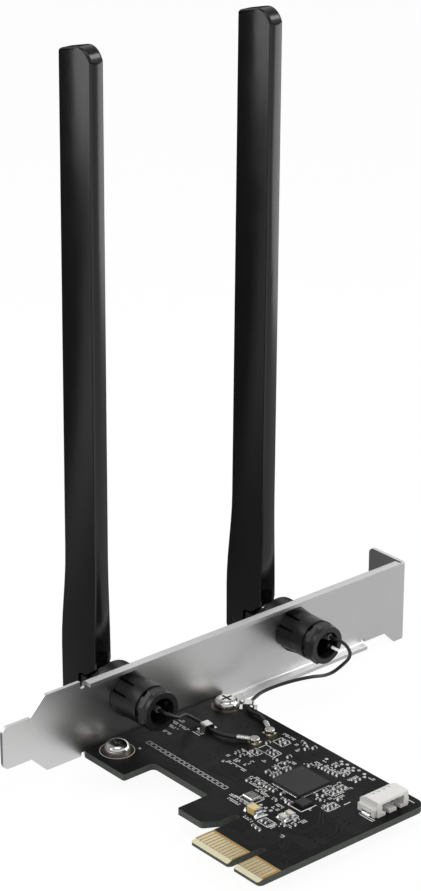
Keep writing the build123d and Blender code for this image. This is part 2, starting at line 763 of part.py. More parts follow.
def coax_plug(at, turn):
    """Snap-on plug: a cap over the socket's ring and a crimp barrel along the lead."""
    low = socket_base_height
    cap = Pos(0, 0, (low + plug_top) / 2) * Cylinder(plug_radius, plug_top - low)
    barrel = Pos(0, 0, plug_level - board_top) * rod_x(crimp_radius, 0, plug_neck)
    body = fillet(cap.edges().group_by(Axis.Z)[-1], plug_roof) + barrel
    inner = plug_top - plug_roof
    body -= prism_z(Circle(socket_ring_radius + plug_fit), low - 1, inner)
    floor = board_top + low
    body = Pos(at[0], at[1], board_top) * Rot(0, 0, turn) * body
    reach = 2 * plug_neck
    return body - block((at[0] - reach, at[0] + reach), (at[1] - reach, at[1] + reach), (seat, floor))


def header_housing():
    """Side-entry housing open towards the card's end, with a stepped back and two keyways in its lower wall."""
    half = header_width / 2
    side = outline(
        (header_rear, 0, 0), (header_front, 0, 0), (header_front, header_height, 0.3),
        (header_rear + 2 * header_step, header_height, 0.3),
        (header_rear, header_height - header_step, 0.3))
    body = prism_y(side, -half, half)
    ear_x = (header_rear, header_front - header_step / 2)
    body += block(ear_x, (-half - header_ear, half + header_ear), (0, header_ear_height))
    inner_half = half - 1.6 * header_wall
    cavity_back = header_rear + header_back_wall
    body -= block((cavity_back, header_front + 1), (-inner_half, inner_half),
                  (header_wall, header_height - header_wall))
    for middle in (-inner_half / 2, inner_half / 2):
        keyway = (middle - header_notch / 2, middle + header_notch / 2)
        body -= block((header_front - header_depth / 3, header_front + 1), keyway, (-1, header_wall + 1))
    for index in range(header_ways):
        y = (index - (header_ways - 1) / 2) * header_pitch
        way = header_pin / 2 + 0.02
        body -= block((header_rear - 1, cavity_back + 1), (y - way, y + way),
                      (header_height / 2 - way, header_height / 2 + way))
        relief = (y - header_relief / 2, y + header_relief / 2)
        body -= block((header_rear - 1, header_rear + 2.5 * header_step), relief,
                      (header_height - header_step, header_height + 1))
    return Pos(0, header_middle_y, board_top) * body


def header_pins():
    """Four bent contacts: a pin in the housing's mouth, down its back and out along the board."""
    back = header_rear - header_pin - 0.05
    tip = header_rear + header_back_wall + header_pin_reach
    middle = header_height / 2
    half = header_pin / 2
    face = outline(
        (tip, middle - half, 0), (tip, middle + half, 0), (back, middle + half, half), (back, half, 0),
        (back - header_foot, half, 0), (back - header_foot, 0, 0), (back + header_pin, 0, 0),
        (back + header_pin, middle - half, 0))
    pins = []
    for index in range(header_ways):
        y = header_middle_y + (index - (header_ways - 1) / 2) * header_pitch
        pins.append(Pos(0, 0, board_top) * prism_y(face, y - half, y + half))
    return Compound(children=pins)


def header_anchors():
    """Two solder anchors, one against each side of the housing."""
    half = header_width / 2 + header_ear
    middle = header_front - header_depth / 2
    pieces = []
    for side in (1, -1):
        face = outline(
            (side * half, 0, 0), (side * (half + anchor_width), 0, 0),
            (side * (half + anchor_width), anchor_sheet, 0), (side * (half + anchor_sheet), anchor_sheet, 0),
            (side * (half + anchor_sheet), anchor_height, 0), (side * half, anchor_height, 0))
        pieces.append(Pos(0, header_middle_y, board_top) * prism_x(face, middle - anchor_length / 2,
                                                                   middle + anchor_length / 2))
    return Compound(children=pieces)


def on_board(size, at):
    """Plain body of a component, standing on the board."""
    return Pos(at[0], at[1], board_top + size[2] / 2) * Box(*size)


def chip_package(size, at):
    """Flat chip package: a moulded body with a small chamfer round its top."""
    body = on_board(size, at)
    return chamfer(body.faces().sort_by(Axis.Z)[-1].edges(), package_chamfer)


def chip_passives(along_x, along_y):
    """Small chip components, each standing on the board along one of the board's axes."""
    length, width, height = chip_passive
    pieces = [on_board((length, width, height), at) for at in along_x]
    pieces += [on_board((width, length, height), at) for at in along_y]
    return Compound(children=pieces)


save("bracket", bracket())
save("circuit_board", circuit_board())
save("edge_contacts", edge_contacts())
save("board_screws", board_screws())
save("wifi_chip", chip_package(wifi_chip, wifi_chip_at))
save("regulator_chip", chip_package(regulator_chip, regulator_at))
save("crystal_can", chip_package(crystal_can, crystal_at))
save("storage_capacitor", chip_package(storage_capacitor, storage_at))
save("filter_capacitors", Compound(children=[on_board(filter_capacitor, at) for at in filter_at]))
save("ceramic_capacitors", chip_passives(ceramic_along_x, ceramic_along_y))
save("rf_passives", chip_passives(matching_along_x, matching_along_y))
save("header_housing", header_housing())
save("header_pins", header_pins())
save("header_anchors", header_anchors())

bush = snap_bush()
swivel = swivel_base()
casing = antenna_casing()
strip = radiator()
feed = feed_lead()
pin = hinge_pin()
sides = [
    ("left", left_bush_y, left_route, left_clip_at, left_clip_turn, left_plug_at, left_plug_turn),
    ("right", right_bush_y, right_route, right_clip_at, right_clip_turn, right_plug_at, right_plug_turn),
]
for side, bush_y, route, clip_at, clip_turn, plug_at, plug_turn in sides:
    place = Pos(inner_face, bush_y, bush_axis)
    save(f"{side}_snap_bush", place * bush)
    save(f"{side}_swivel_base", place * swivel)
    save(f"{side}_antenna_casing", place * casing)
    save(f"{side}_radiator", place * strip)
    save(f"{side}_feed_lead", place * feed)
    save(f"{side}_hinge_pin", place * pin)
    save(f"{side}_coax_lead", coax_lead(route))
    save(f"{side}_lead_sleeve", lead_sleeve(route))
    save(f"{side}_lead_clip", lead_clip(clip_at, clip_turn))
    save(f"{side}_coax_socket", coax_socket(plug_at))
    save(f"{side}_coax_plug", coax_plug(plug_at, plug_turn))
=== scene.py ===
from math import cos, pi, radians, sin

import bmesh
import bpy
import numpy as np
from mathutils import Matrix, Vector


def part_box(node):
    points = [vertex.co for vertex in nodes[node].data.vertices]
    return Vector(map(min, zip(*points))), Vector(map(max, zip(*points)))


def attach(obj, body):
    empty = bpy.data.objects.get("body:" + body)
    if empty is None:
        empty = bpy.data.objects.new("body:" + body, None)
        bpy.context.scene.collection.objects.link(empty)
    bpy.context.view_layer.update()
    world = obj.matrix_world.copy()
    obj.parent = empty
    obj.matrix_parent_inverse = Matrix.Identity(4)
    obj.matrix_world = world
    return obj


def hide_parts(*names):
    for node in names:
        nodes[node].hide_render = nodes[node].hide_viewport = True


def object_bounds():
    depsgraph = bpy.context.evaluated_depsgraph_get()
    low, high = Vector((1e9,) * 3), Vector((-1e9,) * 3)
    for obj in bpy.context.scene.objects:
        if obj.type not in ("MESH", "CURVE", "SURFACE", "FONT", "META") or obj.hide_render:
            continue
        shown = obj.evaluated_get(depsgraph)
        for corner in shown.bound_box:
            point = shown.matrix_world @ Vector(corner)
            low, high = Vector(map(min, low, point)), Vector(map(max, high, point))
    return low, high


# Looks of the wireless expansion card. Lengths are written in millimetres and put into the meshes in metres.

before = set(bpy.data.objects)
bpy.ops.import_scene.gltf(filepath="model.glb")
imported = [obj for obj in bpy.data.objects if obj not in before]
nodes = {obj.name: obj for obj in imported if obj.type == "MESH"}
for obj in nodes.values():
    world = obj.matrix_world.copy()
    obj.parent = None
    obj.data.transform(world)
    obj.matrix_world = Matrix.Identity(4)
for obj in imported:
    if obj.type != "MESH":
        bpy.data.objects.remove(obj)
cad_low, cad_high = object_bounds()
scene = bpy.context.scene
MM = 0.001
BOARD_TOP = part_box("circuit_board")[1].z / MM
BOARD_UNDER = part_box("circuit_board")[0].z / MM
INK = 0.02
CONTACT_END, CONTACT_SIDE, BEVEL_END = 6.3, -12.8, 1.25
WELD_DISTANCE, SMOOTH_ANGLE = 1e-7, radians(38)


class Socket:
    """A shader output that takes part in arithmetic: each operator adds one Math node."""

    def __init__(self, nodes_of, output):
        self.nodes_of = nodes_of
        self.output = output

    def math(self, operation, first, second=0.0):
        made = self.nodes_of.node("ShaderNodeMath", {"operation": operation}, {0: first, 1: second})
        return made["Value"]

    def __add__(self, other):
        return self.math("ADD", self, other)

    def __radd__(self, other):
        return self.math("ADD", other, self)

    def __sub__(self, other):
        return self.math("SUBTRACT", self, other)

    def __rsub__(self, other):
        return self.math("SUBTRACT", other, self)

    def __mul__(self, other):
        return self.math("MULTIPLY", self, other)

    def __rmul__(self, other):
        return self.math("MULTIPLY", other, self)

    def __gt__(self, other):
        return self.math("GREATER_THAN", self, other)

    def __lt__(self, other):
        return self.math("LESS_THAN", self, other)

    def __abs__(self):
        return self.math("ABSOLUTE", self)

    def __or__(self, other):
        return self.math("MAXIMUM", self, other)


class Nodes:
    """A node tree whose nodes all come from one method."""

    def __init__(self, tree):
        self.tree = tree

    def node(self, kind, settings=None, inputs=None):
        """Adds a node of this kind, sets its settings first, then the values or links of its sockets."""
        made = self.tree.nodes.new(kind)
        for key, value in (settings or {}).items():
            if key == "stops":
                ramp = made.color_ramp
                ramp.elements.remove(ramp.elements[1])
                ramp.elements[0].position, ramp.elements[0].color = value[0]
                for place, colour in value[1:]:
                    ramp.elements.new(place).color = colour
            else:
                setattr(made, key, value)
        open_sockets = [s for s in made.inputs if s.enabled]
        for key, value in (inputs or {}).items():
            by_place = isinstance(key, int)
            socket = made.inputs[key] if by_place else next(s for s in open_sockets if s.name == key)
            if isinstance(value, Socket):
                self.tree.links.new(value.output, socket)
            else:
                socket.default_value = value
        return {s.name: Socket(self, s) for s in reversed(made.outputs) if s.enabled}

    def spread(self, value, low, high, start, end, kind="LINEAR"):
        """Map Range from low..high to start..end."""
        return self.node("ShaderNodeMapRange", {"interpolation_type": kind}, {
            "Value": value, "From Min": low, "From Max": high, "To Min": start, "To Max": end})["Result"]


class Finish(Nodes):
    """A material round one Principled shader. What is even all over is set on the shader's own sockets."""

    def __init__(self, name, colour, roughness, metallic=0.0, **fixed):
        self.material = bpy.data.materials.new(name)
        self.material.use_nodes = True
        super().__init__(self.material.node_tree)
        self.shader = self.tree.nodes["Principled BSDF"]
        self.shader.inputs["Base Color"].default_value = (*colour, 1.0)
        self.shader.inputs["Roughness"].default_value = roughness
        self.shader.inputs["Metallic"].default_value = metallic
        for key, value in fixed.items():
            self.shader.inputs[key.replace("_", " ")].default_value = value

    def feed(self, name, value):
        self.tree.links.new(value.output, self.shader.inputs[name])

    def place(self, stretch=(1, 1, 1)):
        """Object coordinates in metres, stretched on each axis."""
        where = self.node("ShaderNodeTexCoord")["Object"]
        if stretch == (1, 1, 1):
            return where
        return self.node("ShaderNodeMapping", None, {"Vector": where, "Scale": stretch})["Vector"]

    def axes(self, vector):
        """The three parts of a vector."""
        return self.node("ShaderNodeSeparateXYZ", None, {"Vector": vector})

    def noise(self, scale, detail=2.0, stretch=(1, 1, 1), roughness=0.5):
        """Fractal noise over Object coordinates, from 0 to 1."""
        return self.node("ShaderNodeTexNoise", None, {
            "Vector": self.place(stretch), "Scale": scale, "Detail": detail, "Roughness": roughness})["Fac"]

    def mix(self, factor, first, second):
        """Colour between two colours."""
        return self.node("ShaderNodeMix", {"data_type": "RGBA"}, {
            "Factor": factor, "A": first, "B": second})["Result"]

    def bump(self, height, strength, depth):
        """Feeds a height, as a bump of this depth in metres, to the shader's normal."""
        made = self.node("ShaderNodeBump", None, {"Strength": strength, "Distance": depth, "Height": height})
        self.feed("Normal", made["Normal"])


def shade(value):
    return (value, value, value, 1.0)


def plated_steel():
    """Bright plated sheet: a soft cloudy sheen with faint rolling lines along the sheet, and rougher faces
    that point up, the sheared edges among them, with a much paler base colour: a painted highlight for the
    light above."""
    finish = Finish("plated_steel_sheet", (0.60, 0.60, 0.597), 0.26, 1.0)
    cloud = finish.noise(90.0, 3.0)
    rolled = finish.noise(260.0, 2.0, (4, 0.12, 4))
    normal = finish.axes(finish.node("ShaderNodeTexCoord")["Normal"])
    # Mask of the faces that point up: rougher, and painted paler below as a highlight for the light from
    # above
    sheared_top_painted_light = normal["Z"] > 0.8
    finish.feed("Roughness", 0.30 + 0.06 * cloud + 0.03 * rolled + 0.24 * sheared_top_painted_light)
    sheet = finish.mix(cloud, (0.60, 0.60, 0.597, 1), (0.65, 0.65, 0.647, 1))
    # Faces that point up get a much paler base colour: a painted highlight
    finish.feed("Base Color", finish.mix(sheared_top_painted_light, sheet, (0.92, 0.92, 0.915, 1)))
    finish.bump(rolled, 0.01, 0.00002)
    return finish


def board_finish():
    """Black mask over copper areas on the faces, dark glass laminate on the sawn edges, and bare laminate
    under the contacts."""
    finish = Finish("black_mask_board", (0.005, 0.0052, 0.0054), 0.34, 0.0, Specular_IOR_Level=0.12)
    where = finish.axes(finish.place())
    normal = finish.axes(finish.node("ShaderNodeTexCoord")["Normal"])
    face = abs(normal["Z"]) > 0.98
    pour = finish.node("ShaderNodeTexVoronoi", {"distance": "CHEBYCHEV", "feature": "F1"}, {
        "Vector": finish.place((1, 1, 0)), "Scale": 170.0, "Randomness": 0.85})
    cell = finish.axes(pour["Color"])["X"]
    weave = finish.noise(1500.0, 2.0)
    copper = finish.spread(cell, 0.35, 0.65, 0.0, 1.0)
    mask = finish.mix(copper, (0.004, 0.0042, 0.0044, 1), (0.008, 0.0083, 0.0086, 1))
    layers = finish.node("ShaderNodeTexWave", {"bands_direction": "Z"}, {
        "Vector": finish.place(), "Scale": 900.0, "Distortion": 1.5, "Detail": 2.0})["Fac"]
    laminate = finish.mix(layers * 0.5 + weave * 0.5, (0.05, 0.056, 0.05, 1), (0.12, 0.13, 0.115, 1))
    bare = finish.mix(weave, (0.36, 0.22, 0.07, 1), (0.44, 0.29, 0.11, 1))
    bevel = finish.mix(weave, (0.72, 0.66, 0.44, 1), (0.84, 0.79, 0.58, 1))
    contact_zone = (where["Y"] < CONTACT_END * MM) * (where["X"] > CONTACT_SIDE * MM)
    top = finish.mix(contact_zone, mask, bare)
    bevelled = (where["Y"] < BEVEL_END * MM) * (abs(normal["Z"]) > 0.2)
    edge = finish.mix(bevelled, laminate, bevel)
    finish.feed("Base Color", finish.mix(face, edge, top))
    finish.feed("Roughness", finish.spread(face, 0.0, 1.0, 0.62, 0.40) + 0.08 * weave - 0.05 * cell)
    finish.bump(cell * 0.6 + weave * 0.15, 0.12, 0.00003)
    return finish


def moulded_black(name, colour, low, high, grain, depth):
    """Moulded black plastic: a fine spark-eroded grain, and a roughness that wanders a little."""
    finish = Finish(name, colour, low, 0.0, Specular_IOR_Level=0.5)
    cloud = finish.noise(120.0, 3.0)
    fine = finish.noise(grain, 2.0)
    finish.feed("Roughness", finish.spread(cloud, 0.25, 0.75, low, high))
    darker = tuple(part * 0.75 for part in colour)
    finish.feed("Base Color", finish.mix(fine, (*darker, 1), (*colour, 1)))
    finish.bump(fine, 0.18, depth)
    return finish


def gold_plate():
    """Hard gold: thin streaks of wear along the contact."""
    finish = Finish("gold_plate", (0.92, 0.74, 0.40), 0.28, 1.0)
    streak = finish.noise(900.0, 2.0, (1, 0.06, 1))
    finish.feed("Base Color", finish.mix(streak, (0.97, 0.84, 0.52, 1), (1.0, 0.91, 0.64, 1)))
    finish.feed("Roughness", 0.2 + 0.16 * streak)
    return finish


def bright_metal(name, colour, low, high, scale):
    """Bright plating or solder with small changes of gloss."""
    finish = Finish(name, colour, low, 1.0)
    cloud = finish.noise(scale, 3.0)
    finish.feed("Roughness", finish.spread(cloud, 0.3, 0.7, low, high))
    darker = tuple(part * 0.86 for part in colour)
    finish.feed("Base Color", finish.mix(cloud, (*darker, 1), (*colour, 1)))
    finish.bump(cloud, 0.1, 0.00002)
    return finish


def matt(name, colour, roughness, scale, depth, tone=0.85, **fixed):
    """Plain moulded, fired or printed surface with a fine grain."""
    finish = Finish(name, colour, roughness, 0.0, **fixed)
    grain = finish.noise(scale, 3.0)
    darker = tuple(part * tone for part in colour)
    finish.feed("Base Color", finish.mix(grain, (*darker, 1), (*colour, 1)))
    finish.feed("Roughness", roughness - 0.06 + 0.12 * grain)
    finish.bump(grain, 0.15, depth)
    return finish


STEEL = plated_steel()
BOARD = board_finish()
CASING = moulded_black("satin_black_casing", (0.0035, 0.0035, 0.0037), 0.17, 0.22, 2600.0, 0.000006)
BUSH = moulded_black("black_bush_plastic", (0.012, 0.012, 0.0125), 0.33, 0.43, 2200.0, 0.000015)
GOLD = gold_plate()
NICKEL = bright_metal("nickel_plate", (0.80, 0.79, 0.76), 0.12, 0.24, 700.0)
TIN = bright_metal("tin_solder", (0.86, 0.86, 0.87), 0.22, 0.38, 1500.0)
COPPER = bright_metal("copper_strip", (0.82, 0.42, 0.25), 0.25, 0.4, 400.0)
CHIP = matt("moulded_chip_resin", (0.030, 0.030, 0.031), 0.46, 3800.0, 0.000012, Specular_IOR_Level=0.3)
WHITE = matt("white_header_nylon", (0.84, 0.83, 0.80), 0.42, 1500.0, 0.00001, 0.95)
CERAMIC = matt("tan_ceramic_body", (0.15, 0.125, 0.10), 0.4, 3000.0, 0.00001)
TANTALUM = matt("buff_capacitor_resin", (0.80, 0.62, 0.27), 0.42, 2400.0, 0.00001, 0.88)
RESISTOR = matt("dark_resistor_glaze", (0.03, 0.03, 0.033), 0.35, 3000.0, 0.00001)
PALE_CERAMIC = matt("pale_ceramic_body", (0.74, 0.70, 0.62), 0.4, 3000.0, 0.00001, 0.9)
JACKET = matt("black_lead_jacket", (0.016, 0.016, 0.017), 0.4, 2500.0, 0.00001)
SLEEVE = matt("grey_sleeve", (0.16, 0.16, 0.165), 0.45, 1800.0, 0.00001)
WHITE_INK = matt("white_ink", (0.88, 0.88, 0.87), 0.6, 5000.0, 0.000005, 0.86)
TRACE = matt("mask_over_copper", (0.011, 0.0113, 0.0116), 0.36, 3000.0, 0.000005, Specular_IOR_Level=0.14)
VIA = matt("tented_via", (0.003, 0.003, 0.003), 0.4, 3000.0, 0.000005, Specular_IOR_Level=0.1)
RING_PAD = bright_metal("flashed_ring_pad", (0.13, 0.095, 0.065), 0.30, 0.45, 700.0)
BOX_INK = matt("pale_ink", (0.62, 0.62, 0.61), 0.6, 5000.0, 0.000005, 0.86)


def piece(name, shape, finish, body="card", smooth=False, weld=False):
    """Mesh object at the origin. The shape is an array of points in millimetres and one of face corners."""
    points, faces = shape
    mesh = bpy.data.meshes.new(name)
    mesh.from_pydata((points * MM).tolist(), [], faces.tolist())
    if weld:
        work = bmesh.new()
        work.from_mesh(mesh)
        bmesh.ops.remove_doubles(work, verts=work.verts, dist=WELD_DISTANCE)
        bmesh.ops.recalc_face_normals(work, faces=work.faces)
        work.to_mesh(mesh)
        work.free()
    if smooth:
        mesh.shade_smooth()
        mesh.set_sharp_from_angle(angle=SMOOTH_ANGLE)
    made = bpy.data.objects.new(name, mesh)
    scene.collection.objects.link(made)
    mesh.materials.append(finish.material)
    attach(made, body)
    return made


def together(*shapes):
    """Several shapes as one: points are stacked, and each shape's corner numbers move on by the points
    before it."""
    starts = np.cumsum([0] + [len(points) for points, _ in shapes[:-1]])
    return (np.concatenate([points for points, _ in shapes]),
            np.concatenate([faces + start for (_, faces), start in zip(shapes, starts)]))


UNIT = np.array([[x, y, z] for z in (0, 1) for y in (-0.5, 0.5) for x in (-0.5, 0.5)])
UNIT_FACES = np.array([[0, 2, 3, 1], [4, 5, 7, 6], [0, 1, 5, 4], [2, 6, 7, 3], [0, 4, 6, 2], [1, 3, 7, 5]])


def blocks(rows, taper=1.0):
    """Blocks from rows of (x, y, z, length, width, height, turn): corner = middle + turn of (unit corner
    times size), with the upper corners drawn in by the taper."""
    rows = np.atleast_2d(np.asarray(rows, float))
    draw = np.where(UNIT[:, 2] > 0, taper, 1.0)
    along = UNIT[:, 0] * draw * rows[:, 3:4]
    across = UNIT[:, 1] * draw * rows[:, 4:5]
    turn = np.radians(rows[:, 6:7])
    x = rows[:, 0:1] + along * np.cos(turn) - across * np.sin(turn)
    y = rows[:, 1:2] + along * np.sin(turn) + across * np.cos(turn)
    z = rows[:, 2:3] + UNIT[:, 2] * rows[:, 5:6]
    faces = UNIT_FACES[None] + 8 * np.arange(len(rows))[:, None, None]
    return np.stack([x, y, z], -1).reshape(-1, 3), faces.reshape(-1, 4)


def lathe(profile, count=28):
    """Round shape on the Z axis: point (radius cos a, radius sin a, height), with a = 2 pi k / count, for
    each (radius, height) of the profile, closed round the seam."""
    profile = np.asarray(profile, float)
    angle = 2 * pi * np.arange(count) / count
    ring = np.stack([np.cos(angle), np.sin(angle)], -1)
    around = profile[:, None, :1] * ring[None]
    heights = np.repeat(profile[:, None, 1:], count, 1)
    points = np.concatenate([around, heights], -1)
    step = np.arange(len(profile) - 1)[:, None] * count
    here = np.arange(count)[None]
    after = (here + 1) % count
    faces = np.stack([step + here, step + after, step + count + after, step + count + here], -1)
    return points.reshape(-1, 3), faces.reshape(-1, 4)


def copies(shape, rows):
    """One shape at many places: points times the row's scale in X and Y, plus the row's (x, y, z). A row is
    (x, y, z, scale)."""
    points, faces = shape
    rows = np.atleast_2d(np.asarray(rows, float))
    scale = np.stack([rows[:, 3], rows[:, 3], np.ones(len(rows))], -1)
    placed = points[None] * scale[:, None] + rows[:, None, :3]
    numbered = faces[None] + len(points) * np.arange(len(rows))[:, None, None]
    return placed.reshape(-1, 3), numbered.reshape(-1, faces.shape[1])


def aimed(shape, origin, turn):
    """A shape on the Z axis laid level, its axis along the turn in degrees, and moved to the origin."""
    points, faces = shape
    c, s = cos(radians(turn)), sin(radians(turn))
    frame_of = np.array([[-s, c, 0], [0, 0, 1], [c, s, 0]])
    return points @ frame_of + np.asarray(origin, float), faces


def strips(paths, width, level, height):
    """Straight conductors or ink lines: one block per run between a path's points, longer by the width so
    that the corners close."""
    starts = np.concatenate([np.asarray(path, float)[:-1] for path in paths])
    ends = np.concatenate([np.asarray(path, float)[1:] for path in paths])
    run = ends - starts
    middle = (starts + ends) / 2
    length = np.hypot(run[:, 0], run[:, 1])
    turn = np.degrees(np.arctan2(run[:, 1], run[:, 0]))
    same = np.ones(len(run))
    return blocks(np.stack([middle[:, 0], middle[:, 1], same * level, length + width, same * width,
                            same * height, turn], -1))


def frames(rows):
    """Paths round rectangles given as (x, y, length, width)."""
    rows = np.asarray(rows, float)
    unit = np.array([[-0.5, -0.5], [0.5, -0.5], [0.5, 0.5], [-0.5, 0.5], [-0.5, -0.5]])
    return list(rows[:, None, :2] + unit[None] * rows[:, None, 2:4])


TICK_PITCH = 0.42
TICK_ROW = 0.5
TICK_GAP_SHARE = 0.24
TICK_LENGTH, TICK_LONGER = 0.16, 0.2
TICK_WIDTH, TICK_NARROWER = 0.4, 0.22


def ticks(fields):
    """Plain ink ticks in fields of (x, y, length, width): a grid of cells whose tick is kept where the
    fraction of 43758 sin(12.99 i + 78.2 j + 3.7 field) is over the share of gaps, long or short by the same
    number."""
    rows = []
    for number, (x, y, length, width) in enumerate(fields):
        columns = np.arange(max(1, round(length / TICK_PITCH)))
        lines = np.arange(max(1, round(width / TICK_ROW)))
        i, j = np.meshgrid(columns, lines)
        chance = np.abs(np.sin(i * 12.9898 + j * 78.233 + number * 3.7) * 43758.5453) % 1.0
        kept = chance > TICK_GAP_SHARE
        across = x - length / 2 + (i[kept] + 0.5) * TICK_PITCH
        up = y - width / 2 + (j[kept] + 0.5) * TICK_ROW
        same = np.ones(kept.sum())
        long = TICK_LENGTH + TICK_LONGER * chance[kept]
        wide = TICK_WIDTH - TICK_NARROWER * chance[kept]
        rows.append(np.stack([across, up, same * BOARD_TOP, long, wide, same * INK, same * 0], -1))
    return blocks(np.concatenate(rows))


def node_boxes(name):
    """Lowest and highest corner, in millimetres, of each plain block in a CAD node: 24 points a block."""
    co = np.empty(len(nodes[name].data.vertices) * 3)
    nodes[name].data.vertices.foreach_get("co", co)
    solid = co.reshape(-1, 24, 3) / MM
    return solid.min(1), solid.max(1)


# Solder toes, as shares of the cap's length and of the component's width and height
TOE_OUT, TOE_LENGTH, TOE_WIDTH, TOE_HEIGHT, TOE_TAPER = 0.2, 1.5, 1.25, 0.55, 0.62


def end_caps(low, high, cap, over):
    """Tinned end caps and solder toes of chip components: two blocks over the ends of the longer side, and a
    sloped toe outside each."""
    size = high - low
    middle = (low + high) / 2
    along_x = (size[:, 0] >= size[:, 1]).astype(float)
    long = np.maximum(size[:, 0], size[:, 1])
    short = np.minimum(size[:, 0], size[:, 1])
    turn = np.where(along_x > 0, 0.0, 90.0)
    same = np.ones(len(long))
    caps, toes = [], []
    for side in (-1, 1):
        out = side * (long / 2 - cap / 2 + over / 2)
        caps.append(np.stack([middle[:, 0] + out * along_x, middle[:, 1] + out * (1 - along_x), low[:, 2],
                              same * cap + over, short + 2 * over, size[:, 2] + over, turn], -1))
        out = side * (long / 2 + cap * TOE_OUT)
        toes.append(np.stack([middle[:, 0] + out * along_x, middle[:, 1] + out * (1 - along_x), low[:, 2],
                              same * cap * TOE_LENGTH, short * TOE_WIDTH, size[:, 2] * TOE_HEIGHT,
                              turn], -1))
    return together(blocks(np.concatenate(caps)), blocks(np.concatenate(toes), TOE_TAPER))


# White ink on the component side: plain ticks, outlines, a row of empty date boxes, and marks for polarity
tick_fields = [
    (-32.0, 44.7, 4.6, 0.9), (-53.5, 31.3, 2.6, 1.0), (-51.6, 29.6, 6.0, 0.9), (-52.0, 27.9, 3.0, 0.9),
    (-51.2, 25.4, 2.4, 0.9), (-46.4, 31.0, 2.0, 1.0), (-29.6, 27.4, 6.2, 1.0), (-28.9, 30.2, 0.9, 3.0),
    (-31.4, 29.0, 1.6, 1.4), (-33.0, 26.6, 1.2, 1.0), (-22.0, 27.2, 4.6, 0.9), (-20.0, 25.0, 5.4, 0.9),
    (-23.8, 26.4, 1.4, 1.0), (-17.8, 24.0, 3.4, 0.9), (-15.6, 23.0, 0.9, 2.4), (-22.6, 33.0, 0.5, 6.0),
    (-24.4, 34.6, 0.9, 3.6), (-22.8, 37.6, 1.6, 0.9), (-20.9, 39.4, 1.2, 0.9), (-19.0, 41.6, 2.0, 0.9),
    (-14.8, 42.3, 5.2, 0.9), (-16.0, 44.6, 2.2, 0.9), (-12.6, 44.6, 1.8, 0.9), (-9.4, 43.0, 0.9, 3.0),
    (-6.6, 46.0, 1.8, 1.0), (-19.0, 43.3, 1.8, 0.5), (-6.6, 37.4, 0.8, 6.4), (-9.9, 38.6, 0.8, 2.4),
    (-6.2, 32.6, 1.0, 2.4), (-5.4, 35.4, 0.8, 3.4), (-2.6, 31.2, 0.9, 3.2), (-4.9, 31.0, 0.8, 2.2),
    (-5.6, 27.0, 0.8, 1.6), (-10.8, 23.2, 2.2, 1.0), (-10.6, 21.8, 2.2, 1.0), (-18.6, 18.4, 5.8, 0.9),
    (-18.8, 17.0, 3.6, 0.9), (-19.4, 19.0, 2.0, 0.6), (-5.9, 16.4, 1.6, 2.0), (-2.8, 22.4, 1.4, 1.8),
    (-3.2, 19.2, 1.8, 1.0), (-5.4, 17.6, 2.4, 0.6), (-11.6, 14.6, 2.2, 0.9), (-9.7, 14.4, 0.9, 0.9),
    (-26.2, 42.2, 0.9, 1.4), (-28.4, 43.6, 1.4, 0.9), (-33.6, 33.0, 1.0, 1.0), (-31.6, 32.6, 2.2, 0.9),
    (-27.4, 33.4, 1.4, 0.9), (-34.4, 28.8, 0.9, 1.6),
]
outline_boxes = [
    (-17.2, 20.8, 4.2, 3.6), (-7.6, 16.6, 3.4, 2.4), (-30.0, 37.2, 5.2, 2.6), (-31.6, 34.75, 2.6, 2.2),
    (-6.5, 21.4, 3.0, 3.9), (-31.2, 41.9, 3.2, 2.6), (-8.0, 36.9, 1.9, 5.0), (-3.6, 31.1, 2.2, 3.6),
    (-12.4, 43.6, 2.0, 1.2), (-1.4, 15.4, 0.8, 0.8),
]
ink_lines = [
    [(-9.9, 25.0), (-6.1, 25.0)], [(-6.1, 25.0), (-6.1, 29.2)],
    [(2.2, 34.4), (6.4, 34.4)], [(2.2, 33.8), (6.4, 33.8)], [(2.2, 34.4), (2.2, 33.8)],
    [(-2.4, 34.0), (-2.4, 35.6)], [(-2.4, 45.2), (-2.4, 44.2)], [(5.0, 45.8), (6.6, 45.8)],
    [(-47.6, 30.0), (-45.4, 30.0)], [(-34.6, 33.2), (-33.4, 33.2)], [(-33.0, 33.2), (-31.8, 33.2)],
]
outline_line, mark_line, date_box_line = 0.16, 0.22, 0.17
date_box_start, date_box_stop, date_box_pitch = -50.0, -23.0, 1.6
date_box_x = np.arange(date_box_start, date_box_stop, date_box_pitch)
date_box_y = 19.4
date_box_side = 1.15
same = np.ones(len(date_box_x))
date_boxes = np.stack([date_box_x, same * date_box_y, same * date_box_side, same * date_box_side], -1)
mark_bar = blocks([(-10.15, 17.3, BOARD_TOP, 0.55, 3.2, INK, -8)])
white_ink = together(
    ticks(tick_fields),
    strips(frames(outline_boxes), outline_line, BOARD_TOP, INK),
    strips(ink_lines, mark_line, BOARD_TOP, INK),
    mark_bar,
)
piece("white_ink_marks", white_ink, WHITE_INK)
date_box_row = strips(frames(date_boxes), date_box_line, BOARD_TOP, INK)
piece("date_box_row", date_box_row, BOX_INK)

# Pads: round test pads, the chip's own pads, and ring pads round the board screws
round_pads = [
    (-16.4, 46.1), (-15.5, 45.35), (-14.6, 46.15), (-13.35, 45.3), (-12.7, 46.2), (-11.9, 45.3),
    (-11.1, 46.35), (-9.2, 46.2), (-8.2, 45.3), (-13.9, 20.46), (-12.28, 20.45), (-11.52, 19.44),
    (-10.73, 20.49), (-19.35, 44.4), (-49.4, 16.1),
]
test_pad_radius = 0.42
dome = lathe([(0.0, 0.07), (0.5, 0.062), (0.85, 0.035), (1.0, 0.0)], 20)
pad_rows = [(x, y, BOARD_TOP, test_pad_radius) for x, y in round_pads]
piece("round_test_pads", copies(dome, pad_rows), TIN, smooth=True, weld=True)

